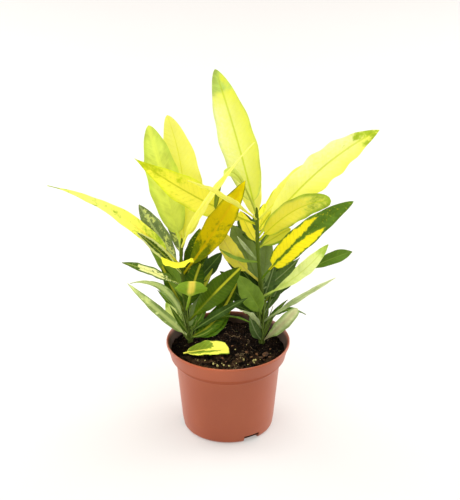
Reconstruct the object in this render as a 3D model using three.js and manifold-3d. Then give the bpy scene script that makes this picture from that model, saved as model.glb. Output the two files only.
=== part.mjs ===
// Potted croton: two leafy stems of a narrow-leaved golden croton in a 12 cm plastic nursery pot.
// Millimetres, +Z up. The origin is the middle of the pot's underside, and -Y is the front.
import * as THREE from 'three';
import { mergeVertices } from 'three/addons/utils/BufferGeometryUtils.js';
import Module from 'manifold-3d';

const wasm = await Module();
wasm.setup();

// Driving dimensions
const pot = {
  rimRadius: 60, height: 92, wall: 1.6, floor: 2.2, sides: 48,
  lip: 0.8, lipBand: 3, lipOut: 0.5,
  collarFoot: 56, shoulderTop: 77, shoulderDrop: 6,
  bodyTop: 50.4, bodyFoot: 44, corner: 4.5, insideCorner: 3,
};
const drain = { count: 3, firstAngle: -58, width: 15, height: 5, reach: 7 };
const soil = { level: 83, gap: 0.35, rings: 8, dip: 1.2, holeOver: 6 };
const soilWaves = [
  { rise: 0.6, perX: 0.19, perY: 0.05, start: 0.6 },
  { rise: 0.45, perX: 0.11, perY: -0.31, start: 0 },
  { rise: 0.3, perX: 0.83, perY: 0.37, start: 0 },
  { rise: 0.25, perX: -0.29, perY: 0.91, start: 1.5 },
];
const stemShape = { foot: 3.2, top: 1.9, sides: 10, buried: 42, steps: 12, holeGap: 0.35 };
const colourGap = 0.3;
const stalk = { half: 1.15, thick: 1.7 };
const blade = { thick: 0.75, rib: 1.15, tipHalf: 0.7, narrow: 11 };
const wideShares = [0.05, 0.14, 0.25, 0.36, 0.47, 0.58, 0.69, 0.8, 0.9, 0.96, 1];
const narrowShares = [0.08, 0.22, 0.38, 0.54, 0.7, 0.85, 0.95, 1];
const leafDefaults = {
  wide: 18, widest: 0.46, blunt: 0.75, stalkShare: 0.12,
  tilt: 64, yaw: 0, twist: 0, fold: 12, wave: 0.7, ripples: 2.5,
};
const rippleShift = { perLeaf: 1.7, rightEdge: 2.1 };
const finishes = {
  pot: { color: 0xb0674a, roughness: 0.5 },
  soil: { color: 0x2e2018, roughness: 0.95 },
  golden: { color: 0xdde03c, roughness: 0.4 },
  green: { color: 0x3d6b2a, roughness: 0.4 },
  fading: { color: 0x7f9a2e, roughness: 0.45 },
};

// Where each stem runs, from its rooted end up to its growing tip, and where its golden growth starts
const stems = {
  left: {
    path: [[-37, 13, 40], [-37, 13, 84], [-40, 13, 112], [-43, 13, 145], [-45, 13, 170], [-44, 13, 192]],
    goldenFrom: 151,
  },
  right: {
    path: [[33, 9, 40], [33, 9, 84], [33, 9, 112], [32, 9, 140], [29, 9, 175], [27, 9, 226]],
    goldenFrom: 161,
  },
};

// Each leaf: the height where it leaves the stem, the point halfway along its midrib, and its tip.
// tilt and yaw say which way its upper side looks: 0 is up, and 90 is level, towards the front.
const goldenLeavesRight = [
  { from: 218, mid: [5, 28, 284], tip: [-12, 40, 355], wide: 33, blunt: 0.6, wave: 1.2 },
  { from: 197, mid: [85, 24, 257], tip: [142, 34, 297], wide: 31, widest: 0.4, wave: 1.5, fold: 16 },
  { from: 214, mid: [64, 38, 240], tip: [99, 55, 262], wide: 22, tilt: 55 },
  { from: 192, mid: [60, 0, 226], tip: [95, -6, 239], wide: 27, fold: 8, blunt: 0.5, twist: -20 },
  { from: 186, mid: [46, 16, 195], tip: [60, 21, 201], wide: 14 },
  { from: 190, mid: [20, 40, 191], tip: [12, 66, 199], wide: 18, tilt: 45 },
  { from: 202, mid: [32, 45, 196], tip: [36, 82, 200], wide: 18, tilt: 35 },
  { from: 170, mid: [9, 9, 177], tip: [-1, 18, 205], wide: 24, wave: 1.8, ripples: 3 },
  { from: 211, mid: [-30, 12, 238], tip: [-87, 15, 276], wide: 28, tilt: 55, fold: 14, wave: 1.2 },
  { from: 216, mid: [-5, -32, 258], tip: [-36, -46, 280], wide: 13, tilt: -20 },
  { from: 221, mid: [-8, 10, 266], tip: [-9, 5, 232], wide: 13, tilt: 0, stalkShare: 0.2, twist: 50 },
  { from: 210, mid: [21, 48, 233], tip: [15, 92, 252], wide: 22, tilt: 35 },
  { from: 203, mid: [54, 54, 219], tip: [83, 97, 226], wide: 24, tilt: 30 },
];

const goldenLeavesLeft = [
  { from: 184, mid: [-60, 32, 243], tip: [-75, 46, 297], wide: 31, widest: 0.5, blunt: 0.6, wave: 1 },
  { from: 182, mid: [-45, 42, 244], tip: [-58, 62, 301], wide: 33, blunt: 0.6, wave: 1 },
  { from: 165, mid: [-106, 10, 222], tip: [-168, 0, 255], wide: 24, widest: 0.27, tilt: 25, blunt: 0.95 },
  { from: 157, mid: [-64, -7, 190], tip: [-84, -22, 217], wide: 10, tilt: 50 },
  { from: 162, mid: [-67, 32, 189], tip: [-86, 46, 215], wide: 19 },
  { from: 168, mid: [-45, -30, 184], tip: [-46, -70, 196], wide: 30, tilt: 20, yaw: 180, fold: 28 },
  { from: 155, mid: [-11, 3, 210], tip: [16, -5, 261], wide: 25, fold: 14, widest: 0.5 },
  { from: 184, mid: [-19, -11, 246], tip: [24, -17, 305], wide: 19, yaw: 48, fold: 16, blunt: 0.9 },
  { from: 178, mid: [-44, 58, 207], tip: [-45, 100, 232], wide: 26, tilt: 35 },
  { from: 171, mid: [-50, 54, 190], tip: [-58, 94, 208], wide: 19, tilt: 35 },
];

const greenLeavesRight = [
  { from: 152, mid: [72, -12, 210], tip: [116, -16, 246], wide: 22, widest: 0.5, wave: 0.5 },
  { from: 137, mid: [45, 38, 145], tip: [59, 72, 154], wide: 12, tilt: 50 },
  { from: 141, mid: [58, 26, 153], tip: [82, 42, 169], wide: 13, tilt: 50 },
  { from: 134, mid: [66, -3, 163], tip: [94, -12, 200], wide: 15, tilt: 45 },
  { from: 130, mid: [76, 12, 161], tip: [116, 16, 178], wide: 14, tilt: 38 },
  { from: 106, mid: [67, -4, 138], tip: [101, -20, 169], wide: 7, tilt: 40 },
  { from: 104, mid: [56, 16, 119], tip: [75, 25, 107], wide: 8, tilt: 10 },
  { from: 87, mid: [49, -4, 107], tip: [67, -14, 133], wide: 15, wave: 1.4, blunt: 0.6 },
  { from: 117, mid: [24, -7, 144], tip: [11, -18, 171], wide: 19, fold: 8 },
  { from: 147, mid: [23, 48, 157], tip: [8, 86, 174], wide: 23, tilt: 45 },
  { from: 127, mid: [32, 35, 145], tip: [34, 64, 170], wide: 19, tilt: 55 },
  { from: 122, mid: [24, 34, 134], tip: [19, 62, 151], wide: 18, tilt: 50 },
  { from: 100, mid: [27, 22, 109], tip: [24, 42, 114], wide: 10 },
  { from: 87, mid: [27, 0, 100], tip: [21, -7, 121], wide: 10 },
  { from: 98, mid: [23, -14, 125], tip: [11, -32, 141], wide: 8, tilt: -15 },
  { from: 149, mid: [53, 46, 158], tip: [76, 84, 159], wide: 18, tilt: 30 },
  { from: 124, mid: [52, 42, 131], tip: [74, 76, 134], wide: 18, tilt: 30 },
  { from: 118, mid: [21, 46, 125], tip: [12, 84, 124], wide: 18, tilt: 25 },
  { from: 97, mid: [33, 40, 104], tip: [30, 76, 101], wide: 15, tilt: 20 },
];

const greenLeavesLeft = [
  { from: 143, mid: [-72, -4, 167], tip: [-99, -22, 186], wide: 10, tilt: 35 },
  { from: 122, mid: [-54, 28, 151], tip: [-77, 40, 174], wide: 17 },
  { from: 114, mid: [-33, 2, 151], tip: [-26, -5, 176], wide: 19 },
  { from: 117, mid: [-36, -26, 157], tip: [-34, -60, 186], wide: 29, tilt: 45, yaw: 180, fold: 14 },
  { from: 104, mid: [-15, -22, 151], tip: [12, -46, 193], wide: 24, widest: 0.55, fold: 14 },
  { from: 88, mid: [-13, 4, 111], tip: [8, -2, 154], wide: 16, fold: 16 },
  { from: 92, mid: [-10, -22, 131], tip: [18, -44, 160], wide: 8 },
  { from: 89, mid: [-16, 14, 98], tip: [2, 12, 117], wide: 17 },
  { from: 98, mid: [-8, -12, 124], tip: [21, -34, 129], wide: 7, tilt: -20 },
  { from: 87, mid: [-67, 0, 125], tip: [-96, -14, 162], wide: 10, tilt: 50 },
  { from: 93, mid: [-57, 18, 133], tip: [-95, 22, 143], wide: 9, tilt: 30 },
  { from: 98, mid: [-55, 34, 111], tip: [-70, 52, 119], wide: 9 },
  { from: 91, mid: [-51, 20, 104], tip: [-61, 28, 118], wide: 13, fold: 6 },
  { from: 139, mid: [-30, 26, 168], tip: [-22, 36, 198], wide: 17 },
  { from: 128, mid: [-30, 44, 140], tip: [-21, 72, 154], wide: 13, tilt: 50 },
  { from: 135, mid: [-22, 36, 148], tip: [-6, 58, 158], wide: 16, tilt: 45 },
  { from: 121, mid: [-27, 22, 135], tip: [-15, 32, 153], wide: 11 },
  { from: 127, mid: [-48, 44, 131], tip: [-55, 76, 136], wide: 17, tilt: 30 },
  { from: 131, mid: [-32, 52, 146], tip: [-28, 90, 149], wide: 17, tilt: 30 },
  { from: 97, mid: [-43, 45, 104], tip: [-46, 80, 101], wide: 15, tilt: 20 },
];

// One leaf that has dropped onto the soil
const shedLeaf = { base: [-43, -14, 84.5], mid: [-21, -8, 84.9], tip: [1, -3, 84.5] };
const shedBlade = { wide: 23, widest: 0.56, blunt: 0.45, tilt: -4, fold: 20, wave: 0.4, stalkShare: 0.08 };

const v3 = (p) => new THREE.Vector3(...p);
const radians = THREE.MathUtils.degToRad;

// A closed body's geometry, as a solid that can be joined and cut
function solidOf(geometry) {
  const bare = geometry.clone();
  bare.deleteAttribute('normal');
  bare.deleteAttribute('uv');
  const merged = mergeVertices(bare, 1e-4);
  const corners = merged.index.array;
  const faces = [];
  for (let i = 0; i < corners.length; i += 3) {
    const [a, b, c] = corners.slice(i, i + 3);
    if (a !== b && b !== c && c !== a) faces.push(a, b, c);
  }
  return new wasm.Manifold(new wasm.Mesh({
    numProp: 3,
    vertProperties: new Float32Array(merged.attributes.position.array),
    triVerts: new Uint32Array(faces),
  }));
}

function geometryOf(solid) {
  const mesh = solid.getMesh();
  const geometry = new THREE.BufferGeometry();
  geometry.setAttribute('position', new THREE.BufferAttribute(mesh.vertProperties, 3));
  geometry.setIndex(new THREE.BufferAttribute(mesh.triVerts, 1));
  geometry.computeVertexNormals();
  return geometry;
}

function meshOf(name, solid, finish) {
  const material = new THREE.MeshStandardMaterial({ ...finish, metalness: 0, flatShading: true });
  const mesh = new THREE.Mesh(geometryOf(solid), material);
  mesh.name = name;
  return mesh;
}

// A closed skin through rings of points. cross(k, i) says whether side k's quads split the other way.
function loft(rings, cross = () => false) {
  const n = rings[0].length;
  const points = rings.flat();
  const faces = [];
  for (let i = 0; i + 1 < rings.length; i += 1) {
    for (let k = 0; k < n; k += 1) {
      const a = i * n + k;
      const b = i * n + ((k + 1) % n);
      if (cross(k)) faces.push(a, b, a + n, b, b + n, a + n);
      else faces.push(a, b, b + n, a, b + n, a + n);
    }
  }
  const last = (rings.length - 1) * n;
  for (let k = 1; k + 1 < n; k += 1) {
    faces.push(0, k + 1, k);
    faces.push(last, last + k, last + k + 1);
  }
  const geometry = new THREE.BufferGeometry();
  geometry.setAttribute('position', new THREE.Float32BufferAttribute(points.flatMap((p) => p.toArray()), 3));
  geometry.setIndex(faces);
  const solid = solidOf(geometry);
  if (solid.volume() > 0) return solid;
  const turned = [];
  for (let i = 0; i < faces.length; i += 3) turned.push(faces[i], faces[i + 2], faces[i + 1]);
  geometry.setIndex(turned);
  return solidOf(geometry);
}

function lathe(profile, sides) {
  const outline = profile.map(([r, z]) => new THREE.Vector2(r, z));
  return new THREE.LatheGeometry(outline, sides).rotateX(Math.PI / 2);
}

// The pot: a tapered body, a rounded shoulder and a wider collar with a rolled lip
function shoulderFoot() {
  return pot.shoulderTop - pot.shoulderDrop;
}

function bodyRadius(z) {
  return THREE.MathUtils.mapLinear(z, 0, shoulderFoot(), pot.bodyFoot, pot.bodyTop);
}

function collarRadius(z) {
  return THREE.MathUtils.mapLinear(z, pot.shoulderTop, pot.height, pot.collarFoot, pot.rimRadius - pot.lipOut);
}

// A quarter turn of an ellipse round [r, z], in equal steps
function quarterTurn([r, z], reachOut, reachDown, steps) {
  const turn = [];
  for (let i = 0; i <= steps; i += 1) {
    const angle = ((Math.PI / 2) * i) / steps;
    turn.push([r + reachOut * Math.sin(angle), z - reachDown * Math.cos(angle)]);
  }
  return turn;
}

function shoulder(inset) {
  const out = pot.collarFoot - pot.bodyTop - inset;
  return quarterTurn([pot.bodyTop, pot.shoulderTop], out, pot.shoulderDrop - inset, 3);
}

function potInside(inset) {
  const skin = pot.wall + inset;
  const base = pot.floor + inset;
  const turn = pot.insideCorner;
  return [
    ...quarterTurn([bodyRadius(base) - skin - turn, base + turn], turn, turn, 2),
    [bodyRadius(shoulderFoot()) - skin, shoulderFoot() + skin],
    ...shoulder(skin),
  ];
}

function makePot() {
  const foot = quarterTurn([bodyRadius(0) - pot.corner, pot.corner], pot.corner, pot.corner, 4);
  const band = pot.height - pot.lipBand;
  const lip = [
    [collarRadius(band), band],
    [pot.rimRadius, band + pot.lip],
    [pot.rimRadius, pot.height - pot.lip],
    [pot.rimRadius - pot.lip, pot.height],
    [pot.rimRadius - 2 * pot.lip, pot.height - pot.lip / 2],
    [collarRadius(band) - pot.wall, band],
  ];
  const profile = [[0, 0], ...foot, ...shoulder(0), ...lip, ...potInside(0).reverse(), [0, pot.floor]];
  let body = solidOf(lathe(profile, pot.sides));
  for (let i = 0; i < drain.count; i += 1) {
    const notch = new THREE.BoxGeometry(drain.reach * 2, drain.width, drain.height * 2);
    notch.translate(bodyRadius(0), 0, 0);
    notch.rotateZ(radians(drain.firstAngle + (360 / drain.count) * i));
    body = body.subtract(solidOf(notch));
  }
  return body;
}

// The soil's top: low lumps and crumbs that dip a little towards the pot's wall
function soilTop(x, y) {
  let z = soil.level - soil.dip * (Math.hypot(x, y) / pot.rimRadius) ** 2;
  for (const wave of soilWaves) z += wave.rise * Math.sin(wave.perX * x + wave.perY * y + wave.start);
  return z;
}

function makeSoil() {
  const topRadius = collarRadius(soil.level) - pot.wall - 2 * soil.gap;
  const top = [];
  for (let i = 0; i < soil.rings; i += 1) top.push([topRadius * (1 - i / soil.rings), soil.level]);
  const profile = [[0, pot.floor + soil.gap], ...potInside(soil.gap), ...top, [0, soil.level]];
  const geometry = lathe(profile, pot.sides);
  const place = geometry.attributes.position;
  for (let i = 0; i < place.count; i += 1) {
    if (place.getZ(i) > soil.level - 0.01) place.setZ(i, soilTop(place.getX(i), place.getY(i)));
  }
  return solidOf(geometry);
}

// Stems
function stemCurve(path) {
  return new THREE.CatmullRomCurve3(path.map(v3), false, 'centripetal');
}

function heightShare(curve, z) {
  let low = 0;
  let high = 1;
  for (let i = 0; i < 30; i += 1) {
    const middle = (low + high) / 2;
    if (curve.getPoint(middle).z < z) low = middle;
    else high = middle;
  }
  return (low + high) / 2;
}

function stemRadius(share) {
  return THREE.MathUtils.lerp(stemShape.foot, stemShape.top, share);
}

function stemPiece(path, fromZ, toZ, grow = 0) {
  const curve = stemCurve(path);
  const from = heightShare(curve, fromZ);
  const to = heightShare(curve, toZ);
  const rings = [];
  for (let i = 0; i <= stemShape.steps; i += 1) {
    const share = THREE.MathUtils.lerp(from, to, i / stemShape.steps);
    const middle = curve.getPoint(share);
    const ring = [];
    for (let k = 0; k < stemShape.sides; k += 1) {
      const angle = (k / stemShape.sides) * Math.PI * 2;
      const reach = stemRadius(share) + grow;
      ring.push(middle.clone().add(new THREE.Vector3(reach * Math.cos(angle), reach * Math.sin(angle), 0)));
    }
    rings.push(ring);
  }
  return loft(rings);
}

// The blade's half width at share s of its length: rounded at the foot, drawn to a blunt point at the tip
function halfWidth(leaf, s) {
  const skew = Math.log(0.5) / Math.log(leaf.widest);
  return (leaf.wide / 2) * Math.sin(Math.PI * Math.min(s, 1) ** skew) ** leaf.blunt;
}

function makeLeaf(root, row, number) {
  const leaf = { ...leafDefaults, ...row };
  const mid = v3(leaf.mid);
  const tip = v3(leaf.tip);
  const pull = mid.clone().multiplyScalar(2).addScaledVector(root, -0.5).addScaledVector(tip, -0.5);
  const rib = new THREE.QuadraticBezierCurve3(root, pull, tip);
  const [tilt, yaw] = [radians(leaf.tilt), radians(leaf.yaw)];
  const looks = new THREE.Vector3(
    Math.sin(tilt) * Math.sin(yaw), -Math.sin(tilt) * Math.cos(yaw), Math.cos(tilt),
  );
  const across = tip.clone().sub(root).cross(looks).normalize();
  const bladeShares = leaf.wide < blade.narrow ? narrowShares : wideShares;
  const shares = [0, leaf.stalkShare, ...bladeShares.map((s) => leaf.stalkShare + s * (1 - leaf.stalkShare))];
  const rings = shares.map((t, i) => {
    const s = i < 2 ? 0 : bladeShares[i - 2];
    const along = rib.getTangent(t);
    const side = across.clone().addScaledVector(along, -across.dot(along)).normalize();
    side.applyAxisAngle(along, radians(leaf.twist) * (t - 0.5));
    const up = side.clone().cross(along);
    const half = Math.max(s > 0 ? halfWidth(leaf, s) : 0, i < 3 ? stalk.half : blade.tipHalf);
    const swell = Math.sin(Math.PI * s);
    const edgeThick = s > 0 ? blade.thick : stalk.thick;
    const ribThick = THREE.MathUtils.lerp(i < 3 ? stalk.thick : blade.rib, blade.thick, s);
    const lift = half * Math.tan(radians(leaf.fold)) * swell;
    const phase = 2 * Math.PI * leaf.ripples * s + number * rippleShift.perLeaf;
    const ripple = (shift) => leaf.wave * swell * Math.sin(phase + shift);
    const place = (out, rise, thick) => rib.getPoint(t)
      .addScaledVector(side, out)
      .addScaledVector(up, rise + thick / 2);
    const left = lift + ripple(0);
    const right = lift + ripple(rippleShift.rightEdge);
    return [
      place(-half, left, edgeThick), place(0, 0, ribThick), place(half, right, edgeThick),
      place(half, right, -edgeThick), place(0, 0, -ribThick), place(-half, left, -edgeThick),
    ];
  });
  // both faces of a half blade split from its edge towards the next point of the midrib
  return loft(rings, (k) => k === 1 || k === 4);
}

function makeGrowth(stem, fromZ, toZ, leaves, firstNumber) {
  const curve = stemCurve(stem.path);
  let body = stemPiece(stem.path, fromZ, toZ);
  leaves.forEach((row, i) => {
    const root = curve.getPoint(heightShare(curve, row.from));
    body = body.add(makeLeaf(root, row, firstNumber + i));
  });
  return body;
}

const plant = new THREE.Group();
plant.name = 'potted_croton';
plant.add(meshOf('pot', makePot(), finishes.pot));

let ground = makeSoil();
for (const stem of Object.values(stems)) {
  const clear = stemShape.holeGap;
  const hole = stemPiece(stem.path, stemShape.buried - clear, soil.level + soil.holeOver, clear);
  ground = ground.subtract(hole);
}
plant.add(meshOf('soil', ground, finishes.soil));

const growths = [
  ['left', greenLeavesLeft, goldenLeavesLeft],
  ['right', greenLeavesRight, goldenLeavesRight],
];
for (const [side, green, golden] of growths) {
  const stem = stems[side];
  const top = stem.path.at(-1)[2];
  const lower = makeGrowth(stem, stemShape.buried, stem.goldenFrom, green, 0);
  const upper = makeGrowth(stem, stem.goldenFrom + colourGap, top, golden, green.length);
  plant.add(meshOf(`${side}_green_growth`, lower, finishes.green));
  plant.add(meshOf(`${side}_golden_growth`, upper, finishes.golden));
}

const shed = makeLeaf(v3(shedLeaf.base), { ...shedLeaf, ...shedBlade }, 0);
plant.add(meshOf('shed_leaf', shed, finishes.fading));

export default plant;
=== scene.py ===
import math
import random

import bmesh
import bpy
import numpy as np
from mathutils import Matrix, Vector, noise


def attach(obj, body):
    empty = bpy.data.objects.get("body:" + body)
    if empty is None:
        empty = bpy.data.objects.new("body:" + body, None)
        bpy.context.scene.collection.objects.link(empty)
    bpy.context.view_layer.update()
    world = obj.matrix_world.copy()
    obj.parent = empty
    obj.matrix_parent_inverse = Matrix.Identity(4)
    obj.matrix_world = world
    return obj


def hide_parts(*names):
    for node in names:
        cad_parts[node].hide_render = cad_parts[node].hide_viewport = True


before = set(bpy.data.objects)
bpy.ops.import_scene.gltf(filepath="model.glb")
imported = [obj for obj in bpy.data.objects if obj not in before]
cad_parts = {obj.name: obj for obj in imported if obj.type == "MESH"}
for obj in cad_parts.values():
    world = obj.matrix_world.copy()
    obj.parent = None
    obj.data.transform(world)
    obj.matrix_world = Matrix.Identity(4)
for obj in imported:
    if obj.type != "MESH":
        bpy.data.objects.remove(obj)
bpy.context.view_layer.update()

mm = 0.001  # lengths below are in millimetres unless a note says metres


# Camera: it looks down on the plant from the front, far off, as through a long lens
viewpoint = {"distance": 1.6, "above": 25.7, "aimX": 0.0019, "aimZ": 0.1885, "lens": 121.6}


def makeCamera(look):
    above = math.radians(look["above"])
    back = Vector((0, -math.cos(above), math.sin(above)))
    camera = bpy.data.objects.new("camera", bpy.data.cameras.new("camera"))
    camera.data.lens = look["lens"]
    camera.data.sensor_width = 36
    camera.location = Vector((look["aimX"], 0, look["aimZ"])) + back * look["distance"]
    camera.rotation_euler = back.to_track_quat("Z", "Y").to_euler()
    bpy.context.scene.collection.objects.link(camera)
    bpy.context.scene.camera = camera


makeCamera(viewpoint)


# Shader sums: a wire is one socket, and sums on wires add Math nodes
class Wire:
    def __init__(self, finish, socket):
        self.finish = finish
        self.socket = socket

    def __add__(self, other):
        return self.finish.sum("ADD", self, other)

    def __sub__(self, other):
        return self.finish.sum("SUBTRACT", self, other)

    def __rsub__(self, other):
        return self.finish.sum("SUBTRACT", other, self)

    def __mul__(self, other):
        return self.finish.sum("MULTIPLY", self, other)

    def __truediv__(self, other):
        return self.finish.sum("DIVIDE", self, other)

    def __pow__(self, other):
        return self.finish.sum("POWER", self, other)

    def __abs__(self):
        return self.finish.sum("ABSOLUTE", self)

    __radd__ = __add__
    __rmul__ = __mul__


# A material under construction
class Finish:
    def __init__(self, name):
        self.material = bpy.data.materials.new(name)
        self.material.use_nodes = True
        self.tree = self.material.node_tree
        self.tree.nodes.clear()

    def node(self, kind, settings=None, sockets=None, out=0):
        made = self.tree.nodes.new(kind)
        for key, value in (settings or {}).items():
            if key == "stops":
                setStops(made.color_ramp, value)
            else:
                setattr(made, key, value)
        for key, value in (sockets or {}).items():
            if isinstance(value, Wire):
                self.tree.links.new(value.socket, made.inputs[key])
            else:
                made.inputs[key].default_value = value
        return Wire(self, made.outputs[out]) if len(made.outputs) else None

    def sum(self, operation, *values):
        return self.node("ShaderNodeMath", {"operation": operation}, dict(enumerate(values)))

    def least(self, a, b):
        return self.sum("MINIMUM", a, b)

    def most(self, a, b):
        return self.sum("MAXIMUM", a, b)

    def fade(self, value, low, high):
        # 0 below low, 1 above high, smooth between
        return self.node("ShaderNodeMapRange", {"interpolation_type": "SMOOTHSTEP"},
                         {"Value": value, "From Min": low, "From Max": high})

    def mix(self, share, a, b):
        return self.node("ShaderNodeMix", {"data_type": "RGBA"}, {0: share, 6: paint(a), 7: paint(b)}, out=2)

    def along(self, value, stops):
        # a value that runs through (place, value) stops
        greys = [(at, (v, v, v)) for at, v in stops]
        return self.node("ShaderNodeValToRGB", {"stops": greys}, {0: value})

    def parts(self, vector):
        split = self.node("ShaderNodeSeparateXYZ", sockets={0: vector})
        return [Wire(self, s) for s in split.socket.node.outputs]

    def joined(self, x, y, z):
        return self.node("ShaderNodeCombineXYZ", sockets={0: x, 1: y, 2: z})

    def uv(self, name):
        return self.node("ShaderNodeUVMap", {"uv_map": name})

    def place(self):
        return self.node("ShaderNodeTexCoord", out=3)

    def grain(self, vector, scale, detail=3.0, rough=0.55):
        return self.node("ShaderNodeTexNoise", sockets={
            "Vector": vector, "Scale": scale, "Detail": detail, "Roughness": rough})

    def bump(self, height, strength, reach):
        sockets = {"Height": height, "Strength": strength, "Distance": reach}
        return self.node("ShaderNodeBump", sockets=sockets)

    def plastic(self, sockets):
        return self.node("ShaderNodeBsdfPrincipled", sockets=sockets)

    def shade(self, shader):
        self.node("ShaderNodeOutputMaterial", sockets={0: shader})
        return self.material


def paint(colour):
    return colour if isinstance(colour, Wire) else (*colour, 1.0)


def setStops(ramp, stops):
    while len(ramp.elements) > 1:
        ramp.elements.remove(ramp.elements[-1])
    for i, (at, colour) in enumerate(stops):
        element = ramp.elements[0] if i == 0 else ramp.elements.new(at)
        element.position = at
        element.color = (*colour, 1.0)


def addPiece(name, points, faces, material, nodes, maps=None, sharp=40):
    # points in millimetres; maps give each point a pair of numbers that the material reads
    mesh = bpy.data.meshes.new(name)
    mesh.from_pydata((np.asarray(points, float) * mm).tolist(), [], faces)
    mesh.update()
    loops = np.empty(len(mesh.loops), np.int32)
    mesh.loops.foreach_get("vertex_index", loops)
    for key, pairs in (maps or {}).items():
        layer = mesh.uv_layers.new(name=key)
        layer.data.foreach_set("uv", np.asarray(pairs, np.float32)[loops].ravel())
    mesh.shade_smooth()
    mesh.set_sharp_from_angle(angle=math.radians(sharp))
    mesh.materials.append(material)
    piece = bpy.data.objects.new(name, mesh)
    bpy.context.scene.collection.objects.link(piece)
    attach(piece, "root")
    if nodes:
        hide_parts(*nodes)
    return piece


def ringFaces(rings, sides):
    # quads between rings of points, outward when a ring runs anticlockwise seen from the last ring
    faces = []
    for i in range(rings - 1):
        for k in range(sides):
            a, b = i * sides + k, i * sides + (k + 1) % sides
            faces.append((a, b, b + sides, a + sides))
    return faces


def circle(middle, radius, sides):
    # a level ring of points, anticlockwise seen from above
    angles = np.arange(sides) * math.tau / sides
    return np.asarray(middle, float) + np.stack([np.cos(angles), np.sin(angles), angles * 0], 1) * radius


# The two stems, as points from foot to top, and the leaves on them
stems = {
    "left": [(-37, 13, 42), (-37, 13, 84), (-40, 13, 112), (-43, 13, 145), (-45, 13, 170), (-44, 13, 192)],
    "right": [(33, 9, 42), (33, 9, 84), (33, 9, 112), (32, 9, 140), (29, 9, 175), (27, 9, 226)],
}
stemShape = {
    "foot": 3.2, "top": 1.3, "sides": 16, "step": 1.5, "joint": 0.5, "jointDrop": 0.5, "jointHalf": 1.9,
    "bud": ((0.0, 0.95), (1.5, 0.75), (2.6, 0.4)),  # rise over the top, and share of its radius
}
# A leaf's shape. Tilt and yaw say which way its upper side looks: tilt 0 is up and 90 level, and yaw 0
# is to the front. Blunt is small for a broad end, and fold lifts both halves off the midrib, in degrees.
leafDefaults = {
    "widest": 0.46, "blunt": 0.75, "tipBlunt": None,  # None for the same as blunt
    "stalkShare": 0.12, "tilt": 64, "yaw": 0, "twist": 0, "fold": 12, "hook": 0,
    "wave": 0.7, "ripples": 2.5, "scallop": 0.035,
}
# What all leaves have in common: their section, their veins, and how finely they are drawn
leafForm = {
    "stalkHalf": 1.15, "stalkThick": 1.7, "stalkBlend": 0.07, "tipHalf": 0.35, "thick": 0.55, "edge": 0.3,
    "ribDrop": 0.95, "ribHalf": 0.85, "ribTaper": 0.75, "groove": 0.25, "roll": 0.05,
    "hookFrom": 0.55, "hookDrop": 0.2, "scallopPace": 1.6, "smallPace": 2.7, "smallWave": 0.3,
    "veinGap": 5.2, "veinSlope": 0.75, "veinCurve": 0.012, "quilt": 0.08,
    "step": 1.5, "stalkStep": 3, "fewestRings": 24, "fewestStalkRings": 5, "crowding": 0.06,
    "phaseShift": 1.7, "patternShift": 400,  # from leaf to leaf
}
leafPhases = {"ripple": (0, 2.1), "small": (0.8, 3.1), "scallop": (0.4, 2.9)}  # of the two halves
acrossPlaces = [0, 0.035, 0.09, 0.2, 0.36, 0.53, 0.7, 0.85, 0.95, 1]  # from midrib to edge


def leaf(start, mid, tip, wide, look, **shape):
    # start is the height where the leaf leaves its stem, mid the middle of its midrib
    return {**leafDefaults, "start": start, "mid": mid, "tip": tip, "wide": wide, "look": look, **shape}


goldenRight = [
    leaf(218, (10, 28, 284), (-12, 40, 355), 34, "tallPale", blunt=0.5, tipBlunt=0.62, wave=1.2),
    leaf(197, (84, 24, 258), (142, 34, 297), 31, "yellowRib", wave=2.2, scallop=0.07, ripples=3.4,
         blunt=0.6, tipBlunt=0.8, fold=14),
    leaf(214, (64, 38, 240), (99, 55, 262), 22, "yellow", tilt=55),
    leaf(192, (60, 0, 228), (95, -6, 243), 22, "curled", fold=8, blunt=0.4, twist=-20, wave=1.3, hook=30),
    leaf(186, (46, 16, 195), (60, 21, 201), 14, "limeEdge"),
    leaf(190, (20, 40, 191), (12, 66, 199), 18, "darkEdge", tilt=45),
    leaf(202, (32, 45, 196), (36, 82, 200), 18, "darkEdge", tilt=35),
    leaf(150, (6, 9, 177), (-8, 17, 202), 16.5, "waxy", wave=1.8, ripples=3, blunt=0.5, stalkShare=0.24),
    leaf(211, (-30, 12, 238), (-87, 15, 276), 28, "streaked", tilt=55, fold=14, tipBlunt=1.1, wave=1.2),
    leaf(216, (-5, -32, 258), (-36, -46, 280), 13, "yellow", tilt=-20),
    leaf(221, (3, 6, 266), (-12, 1, 231), 9, "oliveTip", tilt=50, stalkShare=0.2, tipBlunt=0.4, twist=150,
         fold=6),
    leaf(210, (21, 48, 233), (15, 92, 252), 22, "yellow", tilt=35),
    leaf(203, (54, 54, 219), (83, 97, 226), 24, "streaked", tilt=30),
]
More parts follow.
